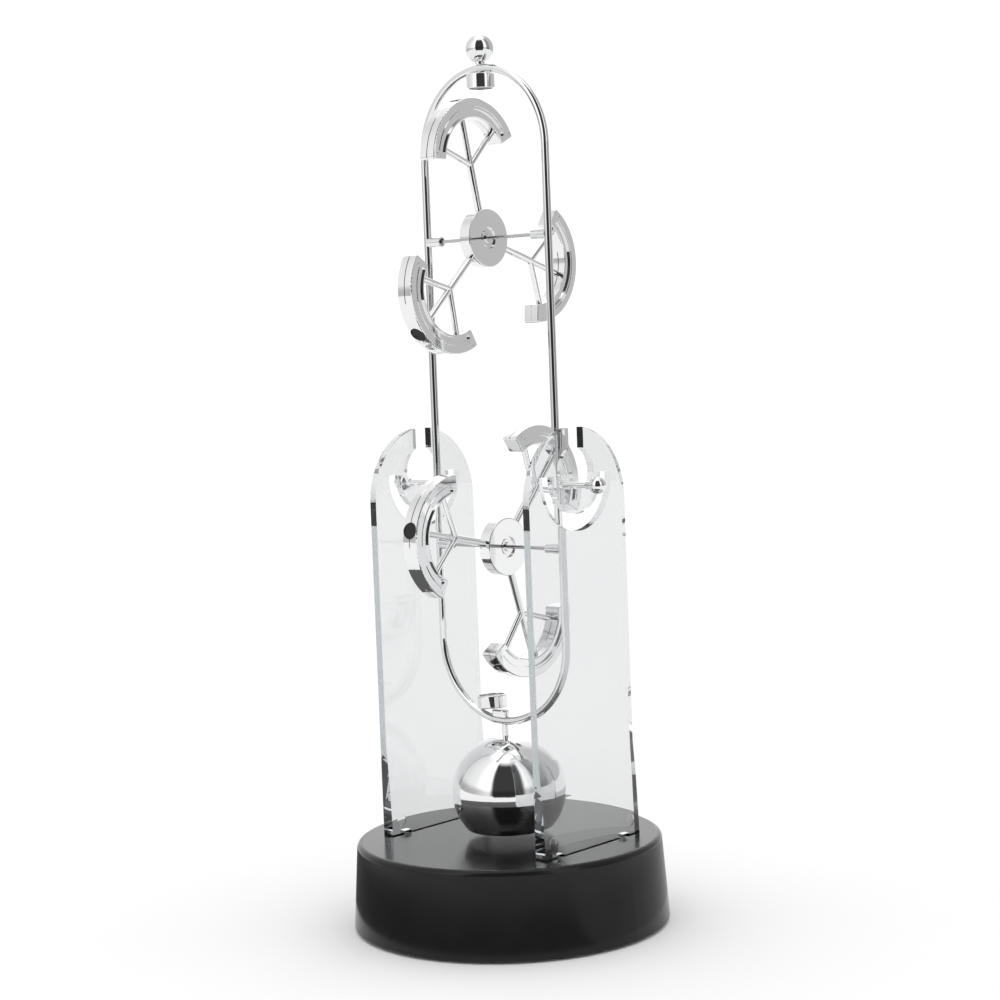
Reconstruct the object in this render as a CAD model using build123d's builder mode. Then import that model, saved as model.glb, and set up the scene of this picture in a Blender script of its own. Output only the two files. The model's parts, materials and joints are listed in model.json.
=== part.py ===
"""Magnetic swinging sculpture: a black round base, two clear plates, a wire frame and two spinners.

Millimetres, +Z up, origin at the centre of the base's underside, +X along the swing axis.
"""
import os
from math import cos, degrees, radians, sin, sqrt, tan

from build123d import *

os.makedirs("parts", exist_ok=True)

# ---- base ---------------------------------------------------------------------------
BASE_R = 67.5          # outer radius at the foot of the wall
BASE_TOP_R = 65.0      # outer radius of the cone at the top, before the rounded edge
BASE_H = 37.0          # top face above the floor
BASE_LIFT = 0.6        # wall foot above the floor, on the rubber feet
WALL = 2.6
TOP_T = 3.0
EDGE_R = 2.4           # rounded top edge
COVER_R = 64.0
COVER_T = 3.0
BOSS_R = 3.6           # bosses for the cover screws
BOSS_PCD = 114.0
FOOT_PCD = 106.0
DOOR_X = 60.0          # battery door
DOOR_Y = 64.0
TRAY_TOP = 21.5        # top of the battery tray
CELL_R = 7.1
CELL_L = 50.0
CELL_PITCH = 15.2
CELL_Z = 12.6

# ---- plates -------------------------------------------------------------------------
PLATE_X = 40.9         # distance from the middle to the plates' inner reference plane
PLATE_T = 3.3
PLATE_FOOT_T = 5.3     # thickness at the foot
FLARE_Z = 77.0         # the thickening starts here
PLATE_W = 62.3
ARCH_Z = 180.4         # centre of the round top
OPEN_Z = 192.7         # centre of the round opening
OPEN_R = 11.0
SLOT_W = 9.6
FLOOR_Z = 186.9        # flat floor of the opening, on both sides of the notch
ARC_SLOT_Z = 191.0     # centre of the curved slot
ARC_SLOT_RO = 22.4
ARC_SLOT_RI = 15.2
TAB_Y = 19.6           # half width of the foot tab
TAB_T = 4.2
TAB_BOTTOM = 23.0

# ---- swinging frame -----------------------------------------------------------------
PIVOT_Z = 187.5
WIRE_R = 1.7
RAIL_X = 33.5          # from the middle to each rail's centre line
TOP_Z = 361.4          # centre line of the wire at its top
BOTTOM_Z = 86.2        # centre line of the wire at its bottom
STUB_R = 1.3
BALL_X = 54.7          # pivot balls
BALL_R = 3.65
RUN = 0.05             # radial clearance of the running fits
TOP_BALL_R = 6.05
TOP_BALL_Z = 369.5
CAP_H = 6.0
TOP_CAP_R = 6.0
LOW_CAP_R = 6.4
LOW_CAP_X = -6.6
LOW_CAP_TILT = 4.0
BOB_R = 23.7
BOB_Z = 56.1
BOB_FLAT_Z = 40.2      # underside of the bob
BOB_WALL = 1.2
STEM_R = 1.35

# ---- spinners -----------------------------------------------------------------------
HUB_R = 12.3
HUB_T = 5.6
RECESS_R = 4.6
ARC_C = 32.0           # from the spinner's axis to the centre of each curved weight
ARC_RO = 26.4
ARC_RI = 18.4
ARC_T = 7.7
ARC_HALF = 76.5        # half of the angle that each curved weight spans
FORK = 31.0            # from the axis to the fork of each arm
ARM_R = 1.6
BRANCH_R = 1.35
BRANCH_A = 57.0
MAG_R = 3.45
MAG_T = 3.2
PIN_R = 0.75
SLEEVE_R = 2.1
SLEEVE_L = 6.4
SPINNERS = [("upper", 290.8, -1.6, -12.7), ("lower", 160.9, 2.9, -78.4)]


def save(builder, name):
    builder.part.label = name
    export_step(builder.part, f"parts/{name}.step")


def cone_radius(z):
    return BASE_R + (BASE_TOP_R - BASE_R) * (z - BASE_LIFT) / (BASE_H - BASE_LIFT)


def tab_x(side):
    """Middle of a plate's foot tab along X."""
    return side * PLATE_X + (0.5 * PLATE_FOOT_T if side > 0 else 0.5 * PLATE_FOOT_T - PLATE_T)


# =====================================================================================
# Base
# =====================================================================================
with BuildPart() as base_shell:
    with BuildSketch(Plane.XZ) as wall_profile:
        with BuildLine():
            Polyline((0, BASE_LIFT), (BASE_R, BASE_LIFT), (BASE_TOP_R, BASE_H), (0, BASE_H), close=True)
        make_face()
    revolve(axis=Axis.Z)
    top_edge = base_shell.edges().filter_by(GeomType.CIRCLE).sort_by(Axis.Z)[-1]
    fillet(top_edge, EDGE_R)
    foot_edge = base_shell.edges().filter_by(GeomType.CIRCLE).sort_by(Axis.Z)[0]
    fillet(foot_edge, 0.8)
    with BuildSketch(Plane.XZ) as hollow_profile:
        with BuildLine():
            Polyline(
                (0, BASE_LIFT),
                (COVER_R + 0.2, BASE_LIFT),
                (COVER_R + 0.2, BASE_LIFT + COVER_T),
                (cone_radius(BASE_LIFT + COVER_T) - WALL - 0.6, BASE_LIFT + COVER_T),
                (BASE_TOP_R - WALL, BASE_H - TOP_T),
                (0, BASE_H - TOP_T),
                close=True,
            )
        make_face()
    revolve(axis=Axis.Z, mode=Mode.SUBTRACT)
    # bosses for the cover screws
    with BuildSketch(Plane.XY.offset(BASE_LIFT + COVER_T)):
        with PolarLocations(BOSS_PCD / 2, 4, start_angle=45):
            Circle(BOSS_R)
    extrude(amount=BASE_H - TOP_T - BASE_LIFT - COVER_T + 0.5)
    with BuildSketch(Plane.XY.offset(BASE_LIFT + COVER_T)):
        with PolarLocations(BOSS_PCD / 2, 4, start_angle=45):
            Circle(1.3)
    extrude(amount=12, mode=Mode.SUBTRACT)
    # ribs that the plate tabs are screwed to, on the outer side of each tab
    for side in (-1, 1):
        with BuildSketch(Plane.XY.offset(TAB_BOTTOM)):
            with Locations((tab_x(side) + side * (TAB_T / 2 + 0.15 + 2.5), 0)):
                Rectangle(5.0, 2 * TAB_Y)
        extrude(amount=BASE_H - TOP_T - TAB_BOTTOM + 0.5)
    # slots for the plate tabs
    for side in (-1, 1):
        with BuildSketch(Plane.XY.offset(BASE_H - TOP_T - 1)):
            with Locations((tab_x(side), 0)):
                Rectangle(TAB_T + 0.3, 2 * TAB_Y + 0.4)
        extrude(amount=TOP_T + 2, mode=Mode.SUBTRACT)
    # screw holes in the ribs
    for side in (-1, 1):
        rib_face = tab_x(side) + side * (TAB_T / 2 + 0.15)
        with BuildSketch(Plane.YZ.offset(rib_face - 0.5 * side)):
            with Locations((-13, 28.5), (13, 28.5)):
                Circle(1.2)
        extrude(amount=side * 5.0, mode=Mode.SUBTRACT)
    # two short posts under the top that hold the coil's bobbin
    with BuildSketch(Plane.XY.offset(BASE_H - TOP_T - 3)):
        with Locations((0, 20), (0, -20)):
            Circle(2.6)
    extrude(amount=3.5)
    with BuildSketch(Plane.XY.offset(BASE_H - TOP_T - 3)):
        with Locations((0, 20), (0, -20)):
            Circle(0.9)
    extrude(amount=3.5, mode=Mode.SUBTRACT)
save(base_shell, "base_shell")

with BuildPart() as bottom_cover:
    with BuildSketch(Plane.XY.offset(BASE_LIFT)):
        Circle(COVER_R)
        Rectangle(DOOR_X + 0.6, DOOR_Y + 0.6, mode=Mode.SUBTRACT)
    extrude(amount=COVER_T)
    # ledge inside the door opening
    with BuildSketch(Plane.XY.offset(BASE_LIFT + 1.9)):
        Rectangle(DOOR_X + 1.0, DOOR_Y + 1.0)
        Rectangle(DOOR_X - 3.0, DOOR_Y - 3.0, mode=Mode.SUBTRACT)
    extrude(amount=COVER_T - 1.9)
    # lug for the door's screw
    with BuildSketch(Plane.XY.offset(BASE_LIFT + 1.9)):
        with Locations((0, -DOOR_Y / 2 + 3.5)):
            Rectangle(9, 7)
    extrude(amount=COVER_T - 1.9)
    with BuildSketch(Plane.XY.offset(BASE_LIFT)):
        with PolarLocations(BOSS_PCD / 2, 4, start_angle=45):
            Circle(1.7)
        with Locations((0, -DOOR_Y / 2 + 3.5)):
            Circle(0.9)
    extrude(amount=COVER_T, mode=Mode.SUBTRACT)
    # counterbores and pockets for the rubber feet
    with BuildSketch(Plane.XY.offset(BASE_LIFT)):
        with PolarLocations(BOSS_PCD / 2, 4, start_angle=45):
            Circle(3.0)
        with PolarLocations(FOOT_PCD / 2, 4):
            Circle(5.1)
    extrude(amount=1.4, mode=Mode.SUBTRACT)
save(bottom_cover, "bottom_cover")

with BuildPart() as battery_door:
    with BuildSketch(Plane.XY.offset(BASE_LIFT)):
        Rectangle(DOOR_X, DOOR_Y)
    extrude(amount=1.8)
    fillet(battery_door.edges().filter_by(Axis.Z), 0.8)
    # shallow finger grooves
    with BuildSketch(Plane.XY.offset(BASE_LIFT)):
        with GridLocations(0, 2.4, 1, 5):
            SlotOverall(22, 1.0)
    extrude(amount=0.5, mode=Mode.SUBTRACT)
    with BuildSketch(Plane.XY.offset(BASE_LIFT)):
        with Locations((0, -DOOR_Y / 2 + 3.5)):
            Circle(1.35)
    extrude(amount=1.8, mode=Mode.SUBTRACT)
    with BuildSketch(Plane.XY.offset(BASE_LIFT)):
        with Locations((0, -DOOR_Y / 2 + 3.5)):
            Circle(2.4)
    extrude(amount=0.9, mode=Mode.SUBTRACT)
save(battery_door, "battery_door")

with BuildPart() as door_screw:
    with BuildSketch(Plane.XY.offset(BASE_LIFT + 0.1)):
        with Locations((0, -DOOR_Y / 2 + 3.5)):
            Circle(2.2)
            Rectangle(2.6, 0.5, mode=Mode.SUBTRACT)
            Rectangle(0.5, 2.6, mode=Mode.SUBTRACT)
    extrude(amount=0.78)
    with BuildSketch(Plane.XY.offset(BASE_LIFT + 0.6)):
        with Locations((0, -DOOR_Y / 2 + 3.5)):
            Circle(0.88)
    extrude(amount=3.0)
save(door_screw, "door_screw")

with BuildPart() as battery_tray:
    with BuildSketch(Plane.XY.offset(BASE_LIFT + COVER_T + 0.02)):
        Rectangle(DOOR_X + 1.6, 4 * CELL_PITCH + 5.0)
    extrude(amount=TRAY_TOP - BASE_LIFT - COVER_T - 0.02)
    with BuildSketch(Plane.XY.offset(BASE_LIFT + COVER_T)):
        Rectangle(DOOR_X - 2.0, 4 * CELL_PITCH + 1.0)
    extrude(amount=TRAY_TOP - BASE_LIFT - COVER_T - 1.4, mode=Mode.SUBTRACT)
    fillet(battery_tray.edges().filter_by(Axis.Z).group_by(Axis.X)[0], 1.5)
    fillet(battery_tray.edges().filter_by(Axis.Z).group_by(Axis.X)[-1], 1.5)
save(battery_tray, "battery_tray")

for index in range(4):
    cell_y = (index - 1.5) * CELL_PITCH
    flip = 1 if index % 2 else -1
    with BuildPart() as cell:
        with BuildSketch(Plane.YZ.offset(-flip * (CELL_L / 2 - 0.75))):
            with Locations((cell_y, CELL_Z)):
                Circle(CELL_R)
        extrude(amount=flip * (CELL_L - 1.0))
        with BuildSketch(Plane.YZ.offset(flip * (CELL_L / 2 - 0.25))):
            with Locations((cell_y, CELL_Z)):
                Circle(2.7)
        extrude(amount=flip * 1.25)
    save(cell, f"battery_cell_{index + 1}")

with BuildPart() as contact_plates:
    # one flat contact at each cell's button end
    for index in range(4):
        flip = 1 if index % 2 else -1
        with BuildSketch(Plane.YZ.offset(flip * (CELL_L / 2 + 1.2))):
            with Locations(((index - 1.5) * CELL_PITCH, CELL_Z)):
                Rectangle(9.0, 10.0)
        extrude(amount=flip * 0.4)
save(contact_plates, "contact_plates")

with BuildPart() as contact_springs:
    # a tapered spring, drawn as a closed cone, at each cell's flat end
    for index in range(4):
        flip = -1 if index % 2 else 1
        spring_foot = Plane.YZ.offset(flip * (CELL_L / 2 + 3.2))
        with BuildSketch(spring_foot):
            with Locations(((index - 1.5) * CELL_PITCH, CELL_Z)):
                Circle(4.2)
        with BuildSketch(Plane.YZ.offset(flip * (CELL_L / 2 - 0.6))):
            with Locations(((index - 1.5) * CELL_PITCH, CELL_Z)):
                Circle(2.4)
        loft()
save(contact_springs, "contact_springs")

COIL_TOP = BASE_H - TOP_T - 0.1
with BuildPart() as coil_bobbin:
    with BuildSketch(Plane.XY.offset(COIL_TOP - 1.2)):
        Circle(14.0)
        Rectangle(6.5, 47)
    extrude(amount=-1.4)
    with BuildSketch(Plane.XY.offset(COIL_TOP)):
        Circle(14.0)
    extrude(amount=-1.2)
    with BuildSketch(Plane.XY.offset(TRAY_TOP + 0.3)):
        Circle(14.0)
    extrude(amount=1.4)
    with BuildSketch(Plane.XY.offset(TRAY_TOP + 0.3)):
        Circle(5.0)
    extrude(amount=COIL_TOP - TRAY_TOP - 0.3)
    with BuildSketch(Plane.XY.offset(TRAY_TOP)):
        Circle(3.2)
        with Locations((0, 20), (0, -20)):
            Circle(1.3)
    extrude(amount=COIL_TOP - TRAY_TOP + 1, mode=Mode.SUBTRACT)
    # the flange's ends step down so that they clear the posts
    with BuildSketch(Plane.XY.offset(COIL_TOP - 2.95)):
        with Locations((0, 20), (0, -20)):
            Circle(3.0)
    extrude(amount=4, mode=Mode.SUBTRACT)
    with BuildSketch(Plane.XY.offset(COIL_TOP - 4.6)):
        with Locations((0, 18.2), (0, -18.2)):
            SlotOverall(12.0, 6.4, rotation=90)
        with Locations((0, 20), (0, -20)):
            Circle(1.3, mode=Mode.SUBTRACT)
    extrude(amount=1.4)
save(coil_bobbin, "coil_bobbin")

with BuildPart() as drive_coil:
    with BuildSketch(Plane.XY.offset(TRAY_TOP + 1.75)):
        Circle(12.4)
        Circle(5.05, mode=Mode.SUBTRACT)
    extrude(amount=COIL_TOP - 4.65 - TRAY_TOP - 1.75)
save(drive_coil, "drive_coil")

with BuildPart() as coil_screws:
    for y in (-20, 20):
        with BuildSketch(Plane.XY.offset(COIL_TOP - 4.65)):
            with Locations((0, y)):
                Circle(2.2)
        extrude(amount=-1.3)
        with BuildSketch(Plane.XY.offset(COIL_TOP - 4.65)):
            with Locations((0, y)):
                Circle(0.88)
        extrude(amount=4.0)
save(coil_screws, "coil_screws")

with BuildPart() as circuit_board:
    with BuildSketch(Plane.XY.offset(TRAY_TOP + 0.3)):
        with Locations((-22, 0)):
            Rectangle(14, 34)
    extrude(amount=1.5)
    # the parts soldered on it
    with BuildSketch(Plane.XY.offset(TRAY_TOP + 1.8)):
        with Locations((-22, -9)):
            Rectangle(4.2, 5.0)
        with Locations((-22, 3)):
            Circle(2.5)
        with Locations((-22, 11)):
            Rectangle(2.4, 6.4)
    extrude(amount=4.2)
save(circuit_board, "circuit_board")

with BuildPart() as rubber_feet:
    with BuildSketch(Plane.XY):
        with PolarLocations(FOOT_PCD / 2, 4):
            Circle(5.0)
    extrude(amount=BASE_LIFT + 1.35)
    fillet(rubber_feet.edges().filter_by(GeomType.CIRCLE).group_by(Axis.Z)[0], 0.3)
save(rubber_feet, "rubber_feet")

with BuildPart() as cover_screws:
    with BuildSketch(Plane.XY.offset(BASE_LIFT + 0.2)):
        with PolarLocations(BOSS_PCD / 2, 4, start_angle=45):
            Circle(2.8)
            Rectangle(3.2, 0.6, mode=Mode.SUBTRACT)
            Rectangle(0.6, 3.2, mode=Mode.SUBTRACT)
    extrude(amount=1.18)
    with BuildSketch(Plane.XY.offset(BASE_LIFT + 0.9)):
        with PolarLocations(BOSS_PCD / 2, 4, start_angle=45):
            Circle(1.28)
    extrude(amount=11.0)
save(cover_screws, "cover_screws")

# =====================================================================================
# Clear plates
# =====================================================================================
for name, side in (("plate_left", -1), ("plate_right", 1)):
    inner = side * PLATE_X if side > 0 else -PLATE_X - PLATE_T
    with BuildPart() as plate:
        # the side profile thickens towards the foot, on the +X face
        with BuildSketch(Plane.XZ.offset(-PLATE_W / 2)):
            with BuildLine():
                Polyline(
                    (inner, BASE_H),
                    (inner + PLATE_FOOT_T, BASE_H),
                    (inner + PLATE_T + 1.1, FLARE_Z - 16),
                    (inner + PLATE_T, FLARE_Z),
                    (inner + PLATE_T, ARCH_Z + PLATE_W / 2 + 1),
                    (inner, ARCH_Z + PLATE_W / 2 + 1),
                    close=True,
                )
            make_face()
        extrude(amount=PLATE_W)
        # round top
        with BuildSketch(Plane.YZ.offset(inner - 1)):
            with Locations((0, ARCH_Z + PLATE_W)):
                Rectangle(2 * PLATE_W, 2 * PLATE_W)
            with Locations((0, ARCH_Z)):
                Circle(PLATE_W / 2, mode=Mode.SUBTRACT)
            with Locations((0, ARCH_Z - PLATE_W / 2)):
                Rectangle(PLATE_W, PLATE_W, mode=Mode.SUBTRACT)
        extrude(amount=PLATE_FOOT_T + 2, mode=Mode.SUBTRACT)
        # opening: a round hole with a flat floor, a notch for the pivot and a slot up to the edge
        with BuildSketch(Plane.YZ.offset(inner - 1)):
            with Locations((0, OPEN_Z)):
                Circle(OPEN_R)
            with Locations((0, FLOOR_Z - OPEN_R)):
                Rectangle(2 * OPEN_R, 2 * OPEN_R, mode=Mode.SUBTRACT)
            with Locations((0, OPEN_Z + 15)):
                Rectangle(SLOT_W, 30)
            with BuildLine():
                notch_z = PIVOT_Z - (STUB_R + RUN) / sin(radians(60))
                rise = (FLOOR_Z + 0.5 - notch_z) / tan(radians(30))
                Polyline((0, notch_z), (rise, FLOOR_Z + 0.5), (-rise, FLOOR_Z + 0.5), close=True)
            make_face()
        extrude(amount=PLATE_FOOT_T + 2, mode=Mode.SUBTRACT)
        # curved slot below the opening
        with BuildSketch(Plane.YZ.offset(inner - 1)):
            with Locations((0, ARC_SLOT_Z)):
                Circle(ARC_SLOT_RO)
                Circle(ARC_SLOT_RI, mode=Mode.SUBTRACT)
            with Locations((0, ARC_SLOT_Z + 0.9 + ARC_SLOT_RO)):
                Rectangle(2.2 * ARC_SLOT_RO, 2 * ARC_SLOT_RO, mode=Mode.SUBTRACT)
        extrude(amount=PLATE_FOOT_T + 2, mode=Mode.SUBTRACT)
        # small relief notches beside the tab
        with BuildSketch(Plane.YZ.offset(inner - 1)):
            with Locations((-TAB_Y - 2.2, BASE_H), (TAB_Y + 2.2, BASE_H)):
                Rectangle(4.0, 3.2)
        extrude(amount=PLATE_FOOT_T + 2, mode=Mode.SUBTRACT)
        # tab that goes down into the base
        with BuildSketch(Plane.XY.offset(TAB_BOTTOM)):
            with Locations((tab_x(side), 0)):
                Rectangle(TAB_T, 2 * TAB_Y)
        extrude(amount=BASE_H - TAB_BOTTOM)
        with BuildSketch(Plane.YZ.offset(tab_x(side) - 5)):
            with Locations((-13, 28.5), (13, 28.5)):
                Circle(1.6)
        extrude(amount=10, mode=Mode.SUBTRACT)
        # shallow round mould marks near both lower corners
        with BuildSketch(Plane.YZ.offset(inner + PLATE_T + 1.45)):
            with Locations((-PLATE_W / 2 + 5.9, BASE_H + 6.7), (PLATE_W / 2 - 5.9, BASE_H + 6.7)):
                Circle(2.6)
        extrude(amount=2, mode=Mode.SUBTRACT)
    save(plate, name)

    clamp_in = tab_x(side) - side * (TAB_T / 2 + 0.1)
    with BuildPart() as clamp:
        with BuildSketch(Plane.YZ.offset(clamp_in)):
            with Locations((0, 28.5)):
                RectangleRounded(34, 6.0, 2.0)
            with Locations((-13, 28.5), (13, 28.5)):
                Circle(1.45, mode=Mode.SUBTRACT)
        extrude(amount=-side * 2.0)
    save(clamp, name.replace("plate", "plate_clamp"))

with BuildPart() as clamp_screws:
    for side in (-1, 1):
        head = tab_x(side) - side * (TAB_T / 2 + 2.15)
        for y in (-13, 13):
            with BuildSketch(Plane.YZ.offset(head)):
                with Locations((y, 28.5)):
                    Circle(2.5)
            extrude(amount=-side * 1.5)
            with BuildSketch(Plane.YZ.offset(head - 0.2 * side)):
                with Locations((y, 28.5)):
                    Circle(1.18)
            extrude(amount=side * 10.0)
save(clamp_screws, "clamp_screws")

# =====================================================================================
# Swinging frame
# =====================================================================================
with BuildPart() as frame_loop:
    for side in (-1, 1):
        with BuildSketch(Plane.XY.offset(BOTTOM_Z + RAIL_X)):
            with Locations((side * RAIL_X, 0)):
                Circle(WIRE_R)
        extrude(amount=TOP_Z - BOTTOM_Z - 2 * RAIL_X)
    for centre_z, turn in ((TOP_Z - RAIL_X, -180), (BOTTOM_Z + RAIL_X, 180)):
        with BuildSketch(Plane.XY.offset(centre_z)):
            with Locations((RAIL_X, 0)):
                Circle(WIRE_R)
        revolve(axis=Axis((0, 0, centre_z), (0, 1, 0)), revolution_arc=turn)
    # blind cross holes for the pivot stubs and for the spinners' sleeves
    for side in (-1, 1):
        with BuildSketch(Plane.YZ.offset(side * (RAIL_X - 0.3))):
            with Locations((0, PIVOT_Z)):
                Circle(STUB_R)
        extrude(amount=side * 3, mode=Mode.SUBTRACT)
    # cross holes for the studs at the top and the bottom
    with BuildSketch(Plane.XY.offset(TOP_Z - 3)):
        Circle(1.0)
    extrude(amount=6, mode=Mode.SUBTRACT)
    with BuildSketch(Plane.XY.offset(BOTTOM_Z - 3)):
        Circle(1.0)
    extrude(amount=6, mode=Mode.SUBTRACT)
save(frame_loop, "frame_loop")

for name, side in (("left", -1), ("right", 1)):
    with BuildPart() as stub:
        with BuildSketch(Plane.YZ.offset(side * (RAIL_X - 0.28))):
            with Locations((0, PIVOT_Z)):
                Circle(STUB_R - 0.005)
        extrude(amount=side * (BALL_X - RAIL_X + 0.28))
    save(stub, f"pivot_stub_{name}")
    with BuildPart() as pivot_ball:
        with Locations((side * BALL_X, 0, PIVOT_Z)):
            Sphere(BALL_R)
        with BuildSketch(Plane.YZ.offset(side * (BALL_X - BALL_R - 1.6))):
            with Locations((0, PIVOT_Z)):
                Circle(STUB_R + 0.35)
        extrude(amount=side * 3)
        with BuildSketch(Plane.YZ.offset(side * (BALL_X - BALL_R - 3))):
            with Locations((0, PIVOT_Z)):
                Circle(STUB_R)
        extrude(amount=side * (BALL_R + 3.02), mode=Mode.SUBTRACT)
    save(pivot_ball, f"pivot_ball_{name}")

# top: ball, stud, magnet cap
NECK_Z = TOP_Z + WIRE_R
with BuildPart() as top_ball:
    with Locations((0, 0, TOP_BALL_Z)):
        Sphere(TOP_BALL_R)
    with BuildSketch(Plane.XY.offset(NECK_Z + 0.02)):
        Circle(2.1)
    extrude(amount=3)
    with BuildSketch(Plane.XY.offset(NECK_Z - 1)):
        Circle(1.0)
    extrude(amount=6, mode=Mode.SUBTRACT)
save(top_ball, "top_ball")

CAP_TOP = TOP_Z - WIRE_R - 0.62
with BuildPart() as top_stud:
    with BuildSketch(Plane.XY.offset(CAP_TOP - 1.4)):
        Circle(0.99)
    extrude(amount=NECK_Z + 5 - CAP_TOP + 1.38)
save(top_stud, "top_stud")

with BuildPart() as top_cap:
    with BuildSketch(Plane.XY.offset(CAP_TOP)):
        Circle(TOP_CAP_R)
    extrude(amount=-CAP_H)
    fillet(top_cap.edges().filter_by(GeomType.CIRCLE).group_by(Axis.Z)[-1], 0.6)
    with BuildSketch(Plane.XY.offset(CAP_TOP - CAP_H)):
        Circle(TOP_CAP_R - 0.8)
    extrude(amount=CAP_H - 1.6, mode=Mode.SUBTRACT)
    # short collar up to the wire
    with BuildSketch(Plane.XY.offset(CAP_TOP - 0.2)):
        Circle(1.7)
    extrude(amount=0.74)
    with BuildSketch(Plane.XY.offset(CAP_TOP + 1)):
        Circle(1.0)
    extrude(amount=-2.6, mode=Mode.SUBTRACT)
save(top_cap, "top_cap")

with BuildPart() as top_magnet:
    with BuildSketch(Plane.XY.offset(CAP_TOP - CAP_H + 0.3)):
        Circle(TOP_CAP_R - 0.82)
    extrude(amount=CAP_H - 1.95)
    chamfer(top_magnet.edges().filter_by(GeomType.CIRCLE).group_by(Axis.Z)[0], 0.3)
save(top_magnet, "top_magnet")

# bottom: lug, tilted magnet cap, stem, bob
LUG_Z = BOTTOM_Z + WIRE_R + 0.02
with BuildPart() as bottom_lug:
    with BuildSketch(Plane.XY.offset(LUG_Z)):
        with Locations((-2.4, 0)):
            SlotOverall(8.2, 4.4)
    extrude(amount=3.0)
    fillet(bottom_lug.edges().group_by(Axis.Z)[-1], 0.7)
    # it sits on the round wire
    with BuildSketch(Plane.XZ.offset(-5)):
        with Locations((0, BOTTOM_Z + RAIL_X)):
            Circle(RAIL_X - WIRE_R + 20)
            Circle(RAIL_X - WIRE_R - 0.02, mode=Mode.SUBTRACT)
    extrude(amount=10, mode=Mode.SUBTRACT)
    with BuildSketch(Plane.XY.offset(LUG_Z)):
        Circle(1.0)
    extrude(amount=2.2, mode=Mode.SUBTRACT)
save(bottom_lug, "bottom_lug")

LOW_CAP_Z = LUG_Z + 3.55
low_cap_plane = Plane((LOW_CAP_X, 0, LOW_CAP_Z)).rotated((0, -LOW_CAP_TILT, 0))
with BuildPart() as bottom_cap:
    with BuildSketch(low_cap_plane):
        Circle(LOW_CAP_R)
    extrude(amount=5.4)
    cap_rim = bottom_cap.edges().filter_by(GeomType.CIRCLE).group_by(Axis.Z)
    fillet(cap_rim[0] + cap_rim[-1], 0.5)
    with BuildSketch(low_cap_plane.offset(5.4)):
        Circle(LOW_CAP_R - 0.9)
    extrude(amount=-4.0, mode=Mode.SUBTRACT)
save(bottom_cap, "bottom_cap")

with BuildPart() as bottom_magnet:
    with BuildSketch(low_cap_plane.offset(1.42)):
        Circle(LOW_CAP_R - 0.92)
    extrude(amount=3.7)
save(bottom_magnet, "bottom_magnet")

BOB_TOP = BOB_Z + BOB_R
with BuildPart() as bob_stem:
    with BuildSketch(Plane.XY.offset(BOB_TOP - 4.0)):
        Circle(STEM_R)
    extrude(amount=BOTTOM_Z - WIRE_R - 0.02 - BOB_TOP + 4.0)
    with BuildSketch(Plane.XY.offset(BOB_TOP - 4.0)):
        Circle(0.99)
    extrude(amount=LUG_Z + 2.15 - BOB_TOP + 4.0)
save(bob_stem, "bob_stem")

with BuildPart() as bob_upper_shell:
    with BuildSketch(Plane.XZ):
        with BuildLine():
            outer = BOB_R
            inner_r = BOB_R - BOB_WALL
            CenterArc((0, BOB_Z), outer, 0, 90)
            CenterArc((0, BOB_Z), inner_r, 0, 90)
            Line((outer, BOB_Z), (inner_r, BOB_Z))
            Line((0, BOB_Z + outer), (0, BOB_Z + inner_r))
        make_face()
    revolve(axis=Axis.Z)
    with BuildSketch(Plane.XY.offset(BOB_TOP - 4.0)):
        Circle(3.0)
    extrude(amount=3.4)
    with BuildSketch(Plane.XY.offset(BOB_TOP - 4.5)):
        Circle(STEM_R + 0.01)
    extrude(amount=6, mode=Mode.SUBTRACT)
save(bob_upper_shell, "bob_upper_shell")

flat_r = sqrt(BOB_R**2 - (BOB_Z - BOB_FLAT_Z) ** 2)
with BuildPart() as bob_lower_shell:
    with Locations((0, 0, BOB_Z)):
        Sphere(BOB_R)
    with BuildSketch(Plane.XY.offset(BOB_Z - 0.02)):
        Rectangle(60, 60)
    extrude(amount=60, mode=Mode.SUBTRACT)
    with BuildSketch(Plane.XY.offset(BOB_FLAT_Z)):
        Rectangle(60, 60)
    extrude(amount=-60, mode=Mode.SUBTRACT)
    fillet(bob_lower_shell.edges().filter_by(GeomType.CIRCLE).group_by(Axis.Z)[0], 0.8)
    with BuildSketch(Plane.XY.offset(BOB_FLAT_Z + 1.2)):
        Circle(flat_r - 1.4)
    extrude(amount=60, mode=Mode.SUBTRACT)
save(bob_lower_shell, "bob_lower_shell")

with BuildPart() as bob_magnet:
    with BuildSketch(Plane.XY.offset(BOB_FLAT_Z + 1.22)):
        Circle(10.0)
    extrude(amount=5.0)
save(bob_magnet, "bob_magnet")

with BuildPart() as bob_weight:
    with BuildSketch(Plane.XY.offset(BOB_FLAT_Z + 6.25)):
        Circle(flat_r - 1.5)
    extrude(amount=9.0)
save(bob_weight, "bob_weight")

# =====================================================================================
# Spinners
# =====================================================================================


def spinner_angle(turn):
    """Angle of an arm in a YZ sketch, where 0 is +Y and 90 is +Z."""
    return 90.0 - turn


def arc_plane(x, axis_z, a):
    """Sketch plane at the centre of a curved weight, with its local X pointing outwards."""
    return Plane(
        origin=(x, ARC_C * cos(a), axis_z + ARC_C * sin(a)),
        x_dir=(0, cos(a), sin(a)),
        z_dir=(1, 0, 0),
    )


def ring_piece(r_in, r_out, half):
    """Face of a curved weight, drawn in the sketch that is open."""
    c, s = cos(radians(half)), sin(radians(half))
    with BuildLine() as outline:
        CenterArc((0, 0), r_out, -half, 2 * half)
        CenterArc((0, 0), r_in, -half, 2 * half)
        Line((r_in * c, r_in * s), (r_out * c, r_out * s))
        Line((r_in * c, -r_in * s), (r_out * c, -r_out * s))
    make_face(outline.edges())


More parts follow.
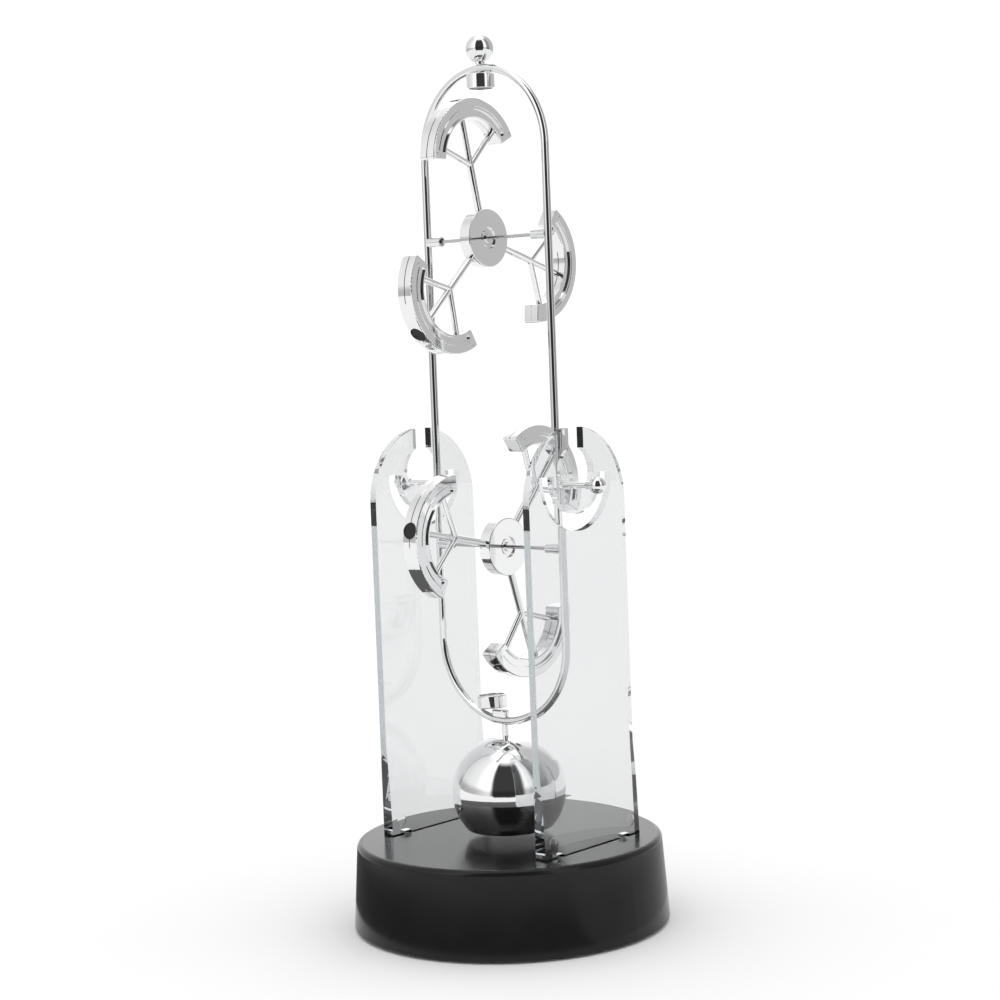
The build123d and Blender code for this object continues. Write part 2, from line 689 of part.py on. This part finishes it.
def channel(r_in, r_out, half):
    """Curved channel with round ends, drawn in the sketch that is open."""
    ring_piece(r_in, r_out, half)
    middle = (r_in + r_out) / 2
    c, s = cos(radians(half)), sin(radians(half))
    with Locations((middle * c, middle * s), (middle * c, -middle * s)):
        Circle((r_out - r_in) / 2)


def far_out(edge, axis_z):
    """True for an edge of a curved weight, which lies well outside the hub."""
    point = edge.center()
    return sqrt(point.Y**2 + (point.Z - axis_z) ** 2) > HUB_R + 1


for name, axis_z, mid_x, turn in SPINNERS:
    for half, out in (("front", 1), ("back", -1)):
        with BuildPart() as body:
            # half of the hub
            with BuildSketch(Plane.YZ.offset(mid_x)):
                with Locations((0, axis_z)):
                    Circle(HUB_R)
            extrude(amount=out * HUB_T / 2)
            hub_rim = body.edges().filter_by(GeomType.CIRCLE)
            hub_rim = hub_rim.filter_by(lambda e: abs(e.center().X - mid_x) > 1)
            fillet(hub_rim, 0.5)
            # curved weights
            for k in range(3):
                a = radians(spinner_angle(turn + 120 * k))
                with BuildSketch(arc_plane(mid_x, axis_z, a)):
                    ring_piece(ARC_RI, ARC_RO, ARC_HALF)
                extrude(amount=out * ARC_T / 2)
            # rounded corners and outer edges, and a fine bevel along the joint between the halves
            corners = body.edges().filter_by(Axis.X).filter_by(lambda e: far_out(e, axis_z))
            fillet(corners, 1.0)
            outer_face_x = mid_x + out * ARC_T / 2
            rim = body.edges().filter_by(lambda e: far_out(e, axis_z) and abs(e.center().X - outer_face_x) < 0.01)
            fillet(rim, 0.45)
            joint = body.edges().filter_by(GeomType.CIRCLE).filter_by(lambda e: abs(e.radius - ARC_RO) < 0.01)
            chamfer(joint.filter_by(lambda e: abs(e.center().X - mid_x) < 0.01), 0.2)
            # half-round arms and branches
            for k in range(3):
                a = spinner_angle(turn + 120 * k)
                ca, sa = cos(radians(a)), sin(radians(a))
                start = (0, (HUB_R - 1.0) * ca, axis_z + (HUB_R - 1.0) * sa)
                arm_plane = Plane(origin=(mid_x, start[1], start[2]), x_dir=(1, 0, 0), z_dir=(0, ca, sa))
                with BuildSketch(arm_plane):
                    Circle(ARM_R)
                    with Locations((-out * 2 * ARM_R, 0)):
                        Rectangle(4 * ARM_R, 4 * ARM_R, mode=Mode.SUBTRACT)
                extrude(amount=FORK - HUB_R + 1.0 + 0.6)
                for spread in (-BRANCH_A, 0, BRANCH_A):
                    b = radians(a + spread)
                    cb, sb = cos(b), sin(b)
                    fork_y, fork_z = FORK * ca, axis_z + FORK * sa
                    along = FORK - ARC_C
                    reach = -along * cos(radians(spread))
                    reach += sqrt((along * cos(radians(spread))) ** 2 - along**2 + ARC_RI**2)
                    branch = Plane(origin=(mid_x, fork_y, fork_z), x_dir=(1, 0, 0), z_dir=(0, cb, sb))
                    with BuildSketch(branch):
                        Circle(BRANCH_R)
                        with Locations((-out * 2 * ARM_R, 0)):
                            Rectangle(4 * ARM_R, 4 * ARM_R, mode=Mode.SUBTRACT)
                    extrude(amount=reach + 0.8)
            # recess in the outer face of the hub
            with BuildSketch(Plane.YZ.offset(mid_x + out * (HUB_T / 2 - 0.9))):
                with Locations((0, axis_z)):
                    Circle(RECESS_R)
            extrude(amount=out * 2, mode=Mode.SUBTRACT)
            # bore for the axle pin
            with BuildSketch(Plane.YZ.offset(mid_x - out)):
                with Locations((0, axis_z)):
                    Circle(PIN_R)
            extrude(amount=out * 10, mode=Mode.SUBTRACT)
            # sockets for the magnets and holes for the small pins
            for k in range(3):
                a = radians(spinner_angle(turn + 120 * k))
                r_floor = ARC_C + ARC_RO - MAG_T
                seat = Plane(
                    origin=(mid_x, r_floor * cos(a), axis_z + r_floor * sin(a)),
                    x_dir=(1, 0, 0),
                    z_dir=(0, cos(a), sin(a)),
                )
                with BuildSketch(seat):
                    Circle(MAG_R)
                extrude(amount=MAG_T + 2, mode=Mode.SUBTRACT)
                # channel and fine groove in the outer face of the weight
                with BuildSketch(arc_plane(mid_x + out * (ARC_T / 2 - 0.8), axis_z, a)):
                    channel(ARC_RI + 0.9, ARC_RI + 3.6, 66)
                extrude(amount=out * 2, mode=Mode.SUBTRACT)
                with BuildSketch(arc_plane(mid_x + out * (ARC_T / 2 - 0.3), axis_z, a)):
                    channel(ARC_RI + 4.3, ARC_RI + 4.8, 67)
                extrude(amount=out * 2, mode=Mode.SUBTRACT)
                with BuildSketch(Plane.YZ.offset(mid_x)):
                    with Locations(Location((0, axis_z), degrees(a))):
                        for s in (-70, 70):
                            r_pin = (ARC_RI + ARC_RO) / 2 + 2.2
                            with Locations((ARC_C + r_pin * cos(radians(s)), r_pin * sin(radians(s)))):
                                Circle(0.8)
                extrude(amount=out * 10, mode=Mode.SUBTRACT)
        save(body, f"{name}_spinner_{half}")

    for k in range(3):
        a = radians(spinner_angle(turn + 120 * k))
        r_floor = ARC_C + ARC_RO - MAG_T + 0.02
        seat = Plane(
            origin=(mid_x, r_floor * cos(a), axis_z + r_floor * sin(a)),
            x_dir=(1, 0, 0),
            z_dir=(0, cos(a), sin(a)),
        )
        with BuildPart() as magnet:
            with BuildSketch(seat):
                Circle(MAG_R - 0.02)
            extrude(amount=MAG_T - 0.45)
        save(magnet, f"{name}_magnet_{k + 1}")

    with BuildPart() as rivets:
        for k in range(3):
            a = spinner_angle(turn + 120 * k)
            with BuildSketch(Plane.YZ.offset(mid_x - ARC_T / 2 + 0.15)):
                with Locations(Location((0, axis_z), a)):
                    for s in (-70, 70):
                        r_pin = (ARC_RI + ARC_RO) / 2 + 2.2
                        with Locations((ARC_C + r_pin * cos(radians(s)), r_pin * sin(radians(s)))):
                            Circle(0.79)
            extrude(amount=ARC_T - 0.3)
    save(rivets, f"{name}_rivets")

    pin_half = RAIL_X - WIRE_R - 1.6
    with BuildPart() as pin:
        with BuildSketch(Plane.YZ.offset(-pin_half)):
            with Locations((0, axis_z)):
                Circle(PIN_R - 0.005)
        extrude(amount=2 * pin_half)
    save(pin, f"{name}_axle_pin")

    with BuildPart() as collars:
        for out in (-1, 1):
            face = mid_x + out * (HUB_T / 2 - 0.88)
            with BuildSketch(Plane.YZ.offset(face)):
                with Locations((0, axis_z)):
                    Circle(3.4)
                    Circle(PIN_R, mode=Mode.SUBTRACT)
            extrude(amount=out * 0.5)
            with BuildSketch(Plane.YZ.offset(face)):
                with Locations((0, axis_z)):
                    Circle(2.0)
                    Circle(PIN_R, mode=Mode.SUBTRACT)
            extrude(amount=out * 1.3)
    save(collars, f"{name}_hub_collars")

    for label, side in (("left", -1), ("right", 1)):
        sleeve_out = RAIL_X - WIRE_R - 0.02
        with BuildPart() as sleeve:
            with BuildSketch(Plane.YZ.offset(side * (sleeve_out - SLEEVE_L))):
                with Locations((0, axis_z)):
                    Circle(SLEEVE_R)
            extrude(amount=side * (SLEEVE_L + 1.0))
            # the outer end is shaped to the round rail
            with BuildSketch(Plane.XY.offset(axis_z - 4)):
                with Locations((side * RAIL_X, 0)):
                    Circle(WIRE_R + 0.01)
            extrude(amount=8, mode=Mode.SUBTRACT)
            with BuildSketch(Plane.YZ.offset(side * (sleeve_out - SLEEVE_L - 1))):
                with Locations((0, axis_z)):
                    Circle(1.5)
            extrude(amount=side * 3.2, mode=Mode.SUBTRACT)
            with BuildSketch(Plane.YZ.offset(side * (sleeve_out - SLEEVE_L - 1))):
                with Locations((0, axis_z)):
                    Circle(PIN_R - 0.005 + RUN)
            extrude(amount=side * (SLEEVE_L + 1 - 1.2), mode=Mode.SUBTRACT)
        save(sleeve, f"{name}_sleeve_{label}")
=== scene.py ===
"""Swinging kinetic sculpture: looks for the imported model."""
import json
from math import cos, radians, sin

import bpy
from mathutils import Matrix, Vector

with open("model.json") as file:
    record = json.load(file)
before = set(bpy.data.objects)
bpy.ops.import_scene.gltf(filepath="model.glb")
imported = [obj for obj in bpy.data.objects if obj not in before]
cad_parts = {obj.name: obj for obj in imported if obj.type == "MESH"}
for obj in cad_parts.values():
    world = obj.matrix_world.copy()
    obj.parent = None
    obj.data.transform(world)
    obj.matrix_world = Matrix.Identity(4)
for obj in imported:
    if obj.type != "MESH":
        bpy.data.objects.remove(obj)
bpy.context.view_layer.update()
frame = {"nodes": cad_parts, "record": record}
nodes = frame["nodes"]
scene = bpy.context.scene

FRONT_AZIMUTH = 41.0      # the camera and the studio's opening face this way, degrees from -Y towards +X
STUDIO_MIDDLE = Vector((0, 0, 0.190))


# =====================================================================================
# Camera
# =====================================================================================
CAMERA_ELEVATION = 4.043
CAMERA_ROLL = -2.185
CAMERA_DISTANCE = 0.91799
CAMERA_OFFSET = (0.00144, -0.00945)     # of the point looked at, to the right and up


def add_camera():
    az, el, roll = radians(FRONT_AZIMUTH), radians(CAMERA_ELEVATION), radians(CAMERA_ROLL)
    right0 = Vector((cos(az), sin(az), 0))
    back = Vector((sin(az) * cos(el), -cos(az) * cos(el), sin(el)))
    up0 = back.cross(right0)
    target = STUDIO_MIDDLE + CAMERA_OFFSET[0] * right0 + CAMERA_OFFSET[1] * up0
    right = cos(roll) * right0 + sin(roll) * up0
    up = -sin(roll) * right0 + cos(roll) * up0
    cam = bpy.data.cameras.new("camera")
    cam.sensor_width = 36.0
    cam.lens = 78.12
    cam.clip_start = 0.05
    cam.clip_end = 30.0
    ob = bpy.data.objects.new("camera", cam)
    m = Matrix((right, up, back)).transposed().to_4x4()
    m.translation = target + CAMERA_DISTANCE * back
    ob.matrix_world = m
    scene.collection.objects.link(ob)
    scene.camera = ob


add_camera()


# =====================================================================================
# Materials
# =====================================================================================
def new_material(name):
    mat = bpy.data.materials.new(name)
    mat.use_nodes = True
    tree = mat.node_tree
    tree.nodes.clear()
    out = tree.nodes.new("ShaderNodeOutputMaterial")
    shader = tree.nodes.new("ShaderNodeBsdfPrincipled")
    tree.links.new(shader.outputs["BSDF"], out.inputs["Surface"])
    return mat, tree, shader


def noise(tree, scale, detail=3.0, rough=0.5):
    """Noise in object space, so a pattern stays on its piece."""
    coord = tree.nodes.new("ShaderNodeTexCoord")
    n = tree.nodes.new("ShaderNodeTexNoise")
    n.inputs["Scale"].default_value = scale
    n.inputs["Detail"].default_value = detail
    n.inputs["Roughness"].default_value = rough
    tree.links.new(coord.outputs["Object"], n.inputs["Vector"])
    return n.outputs["Fac"]


def ramp(tree, fac, stops):
    """Colour ramp from (position, colour) pairs; a number stands for a grey."""
    r = tree.nodes.new("ShaderNodeValToRGB")
    while len(r.color_ramp.elements) < len(stops):
        r.color_ramp.elements.new(0.5)
    for e, (p, c) in zip(r.color_ramp.elements, stops):
        e.position = p
        e.color = (c, c, c, 1) if isinstance(c, (int, float)) else (*c, 1)
    tree.links.new(fac, r.inputs["Fac"])
    return r.outputs["Color"]


def bump(tree, shader, height, strength, distance):
    b = tree.nodes.new("ShaderNodeBump")
    b.inputs["Strength"].default_value = strength
    b.inputs["Distance"].default_value = distance
    tree.links.new(height, b.inputs["Height"])
    tree.links.new(b.outputs["Normal"], shader.inputs["Normal"])


def chrome(name, grey=0.78, rough=(0.02, 0.06), wave=0.0):
    """Metal with faint smudges in roughness and tone, and a slight waviness for moulded parts."""
    mat, tree, s = new_material(name)
    s.inputs["Metallic"].default_value = 1.0
    smudge = noise(tree, 90.0, 4.0, 0.6)
    tree.links.new(ramp(tree, smudge, [(0.35, rough[0]), (0.7, rough[1])]), s.inputs["Roughness"])
    tone = noise(tree, 35.0, 2.0)
    cool = (grey * 0.97, grey * 0.975, grey * 0.985)
    plain = (grey, grey, grey * 1.005)
    tree.links.new(ramp(tree, tone, [(0.3, cool), (0.7, plain)]), s.inputs["Base Color"])
    if wave:
        bump(tree, s, noise(tree, 160.0, 1.0), wave, 0.0004)
    return mat


def plastic(name, low, high, rough, grain=1400.0, strength=0.15, gloss=0.5):
    """Moulded plastic with a fine spark-eroded grain."""
    mat, tree, s = new_material(name)
    s.inputs["Specular IOR Level"].default_value = gloss
    tone = noise(tree, 60.0, 4.0)
    tree.links.new(ramp(tree, tone, [(0.3, low), (0.7, high)]), s.inputs["Base Color"])
    rub = noise(tree, 220.0, 3.0)
    tree.links.new(ramp(tree, rub, [(0.3, rough[0]), (0.7, rough[1])]), s.inputs["Roughness"])
    bump(tree, s, noise(tree, grain, 2.0), strength, 0.0001)
    return mat


def acrylic(name):
    """Clear acrylic with a light grey tint and slight polishing marks."""
    mat, tree, s = new_material(name)
    s.inputs["Transmission Weight"].default_value = 1.0
    s.inputs["IOR"].default_value = 1.49
    tint = [(0.3, (0.80, 0.806, 0.81)), (0.7, (0.825, 0.83, 0.834))]
    tree.links.new(ramp(tree, noise(tree, 12.0, 2.0), tint), s.inputs["Base Color"])
    marks = noise(tree, 300.0, 3.0)
    tree.links.new(ramp(tree, marks, [(0.45, 0.0), (0.75, 0.012)]), s.inputs["Roughness"])
    # long paths inside the sheet grow darker, which draws its edges
    depth = tree.nodes.new("ShaderNodeVolumeAbsorption")
    depth.inputs["Color"].default_value = (0.88, 0.895, 0.90, 1)
    depth.inputs["Density"].default_value = 60.0
    out = next(n for n in tree.nodes if n.type == "OUTPUT_MATERIAL")
    tree.links.new(depth.outputs["Volume"], out.inputs["Volume"])
    return mat


MATS = {
    "black_plastic": plastic(
        "black_plastic",
        (0.0075, 0.0075, 0.008),
        (0.010, 0.010, 0.0105),
        (0.17, 0.20),
        strength=0.015,
        gloss=0.26,
    ),
    "inner_plastic": plastic(
        "inner_plastic", (0.04, 0.04, 0.043), (0.055, 0.055, 0.06), (0.45, 0.55)
    ),
    "clear_acrylic": acrylic("clear_acrylic"),
    "chrome_wire": chrome("chrome_wire", 0.82),
    "plated_plastic": chrome("plated_plastic", 0.86, (0.03, 0.08), 0.06),
    "magnet": chrome("magnet", 0.045, (0.25, 0.35)),
    "steel": chrome("steel", 0.55, (0.22, 0.34)),
    "copper": chrome("copper", 0.5, (0.25, 0.35)),
    "contact_metal": chrome("contact_metal", 0.6, (0.2, 0.3)),
    "board": plastic("board", (0.015, 0.12, 0.05), (0.02, 0.16, 0.07), (0.3, 0.4)),
    "cell": plastic("cell", (0.14, 0.15, 0.17), (0.18, 0.19, 0.21), (0.3, 0.4)),
    "rubber": plastic("rubber", (0.02, 0.02, 0.02), (0.03, 0.03, 0.03), (0.6, 0.75)),
}
slots = {p["node"]: p["material_slot"] for p in frame["record"]["subparts"]}
for name, ob in nodes.items():
    # the rivets are flush with the plated weights and look like them
    slot = "plated_plastic" if name.endswith("_rivets") else slots[name]
    ob.data.materials.clear()
    ob.data.materials.append(MATS[slot])


# =====================================================================================
# Stage: floor, light, studio
# =====================================================================================
def add_stage(name, points, faces, mat):
    """Object that is part of the stage, not of the model."""
    me = bpy.data.meshes.new(name)
    me.from_pydata(points, [], faces)
    me.materials.append(mat)
    ob = bpy.data.objects.new(name, me)
    scene.collection.objects.link(ob)
    return ob


FLOOR_HALF = 20.0
FLOOR_Z = -0.0004

floor_mat, _, floor_shader = new_material("floor")
floor_shader.inputs["Base Color"].default_value = (0.955, 0.955, 0.955, 1)
floor_shader.inputs["Roughness"].default_value = 0.9
floor_shader.inputs["Specular IOR Level"].default_value = 0.0
corners = [(-1, -1), (1, -1), (1, 1), (-1, 1)]
add_stage(
    "floor", [(x * FLOOR_HALF, y * FLOOR_HALF, FLOOR_Z) for x, y in corners], [(0, 1, 2, 3)], floor_mat
)

world = bpy.data.worlds.new("studio")
world.use_nodes = True
world.node_tree.nodes["Background"].inputs["Color"].default_value = (1, 1, 1, 1)
world.node_tree.nodes["Background"].inputs["Strength"].default_value = 1.09
scene.world = world
# Standard keeps the white ground white. Light that runs along inside the plates needs many bounces.
scene.view_settings.view_transform = "Standard"
scene.cycles.max_bounces = 64
scene.cycles.glossy_bounces = 48
scene.cycles.transmission_bounces = 48

# What the shiny surfaces reflect: a dark opening in front, softboxes on both sides of it, a grey wall
# to the right, white behind and above. WALLS holds (degrees from the opening's middle, level) pairs.
STUDIO_RADIUS = 3.0
TABLE_Z = 0.0008
OPENING_HALF = 30
DARK = 0.05
WALLS = [
    (-180, 1.45), (-150, 1.00), (-115, 0.80), (-80, 0.98), (-40, 1.60),
    (-OPENING_HALF, DARK), (OPENING_HALF, DARK),
    (40, 1.45), (54, 1.15), (64, 0.30), (82, 0.34), (94, 0.56), (135, 0.60), (155, 1.00), (180, 1.45),
]
DIM_SIDES = (-125, 86)    # the walls are dimmer just above the horizon between these
OVERHEAD = 1.25


def smooth(low, high, x):
    t = min(max((x - low) / (high - low), 0.0), 1.0)
    return t * t * (3 - 2 * t)


def studio_level(azimuth, elevation):
    d = (azimuth - FRONT_AZIMUTH + 180) % 360 - 180
    for (d0, v0), (d1, v1) in zip(WALLS, WALLS[1:]):
        if d0 <= d <= d1:
            wall = v0 + (v1 - v0) * smooth(d0, d1, d)
            break
    if DIM_SIDES[0] < d < DIM_SIDES[1]:
        wall *= 0.55 + 0.45 * smooth(2, 12, elevation)
    return wall + (OVERHEAD - wall) * smooth(58, 72, elevation)


def studio_material(name, through_plates):
    """Light that only reflections see: clear to any ray that no shiny surface has turned back yet.

    Without through_plates, it is clear as well to a reflected ray that has come through a plate.
    """
    mat = bpy.data.materials.new(name)
    mat.use_nodes = True
    tree = mat.node_tree
    tree.nodes.clear()
    out = tree.nodes.new("ShaderNodeOutputMaterial")
    light = tree.nodes.new("ShaderNodeEmission")
    level = tree.nodes.new("ShaderNodeAttribute")
    level.attribute_name = "level"
    tree.links.new(level.outputs["Fac"], light.inputs["Strength"])
    path = tree.nodes.new("ShaderNodeLightPath")
    turned = tree.nodes.new("ShaderNodeMath")
    turned.operation = "MINIMUM"
    turned.inputs[1].default_value = 1.0
    tree.links.new(path.outputs["Glossy Depth"], turned.inputs[0])
    seen = turned
    if not through_plates:
        seen = tree.nodes.new("ShaderNodeMath")
        seen.operation = "SUBTRACT"
        seen.use_clamp = True
        tree.links.new(turned.outputs[0], seen.inputs[0])
        tree.links.new(path.outputs["Is Transmission Ray"], seen.inputs[1])
    clear = tree.nodes.new("ShaderNodeBsdfTransparent")
    mix = tree.nodes.new("ShaderNodeMixShader")
    tree.links.new(seen.outputs[0], mix.inputs["Fac"])
    tree.links.new(clear.outputs["BSDF"], mix.inputs[1])
    tree.links.new(light.outputs["Emission"], mix.inputs[2])
    tree.links.new(mix.outputs["Shader"], out.inputs["Surface"])
    mat.cycles.emission_sampling = "NONE"
    return mat


def studio_piece(name, columns, rows, place, through_plates=True):
    """Glowing grid; place(u, v) gives the point and the level at a share of its width and height."""
    points, levels, faces = [], [], []
    for j in range(rows + 1):
        for i in range(columns + 1):
            point, level = place(i / columns, j / rows)
            points.append(point)
            levels.append(level)
    for j in range(rows):
        for i in range(columns):
            k = j * (columns + 1) + i
            faces.append((k, k + 1, k + columns + 2, k + columns + 1))
    ob = add_stage(name, points, faces, studio_material(name, through_plates))
    ob.data.attributes.new("level", "FLOAT", "POINT").data.foreach_set("value", levels)
    ob.visible_camera = False
    ob.visible_diffuse = False
    ob.visible_shadow = False


def wall_point(u, v):
    """Point and level of the walls, which go all round, from just under the horizon to overhead."""
    azimuth, elevation = 360 * u, -5 + 95 * v
    a, e = radians(azimuth), radians(elevation)
    out = Vector((sin(a) * cos(e), -cos(a) * cos(e), sin(e)))
    return STUDIO_MIDDLE + STUDIO_RADIUS * out, studio_level(azimuth, elevation)


def table_piece(azimuths, radii, level):
    """Place function for a piece of table top between two azimuths from the opening and two radii."""

    def place(u, v):
        a = radians(FRONT_AZIMUTH + azimuths[0] + (azimuths[1] - azimuths[0]) * u)
        r = radii[0] + (radii[1] - radii[0]) * v
        return Vector((r * sin(a), -r * cos(a), TABLE_Z)), level

    return place


studio_piece("studio_walls", 240, 64, wall_point)
opening_floor = table_piece((-OPENING_HALF, OPENING_HALF), (1.0, STUDIO_RADIUS), DARK)
studio_piece("table_front", 12, 4, opening_floor, False)
NEAR_BASE = (0.085, 0.24)
studio_piece("table_left", 24, 2, table_piece((-165, 38), NEAR_BASE, 0.12), False)
studio_piece("table_right", 24, 2, table_piece((38, 165), NEAR_BASE, 0.60), False)
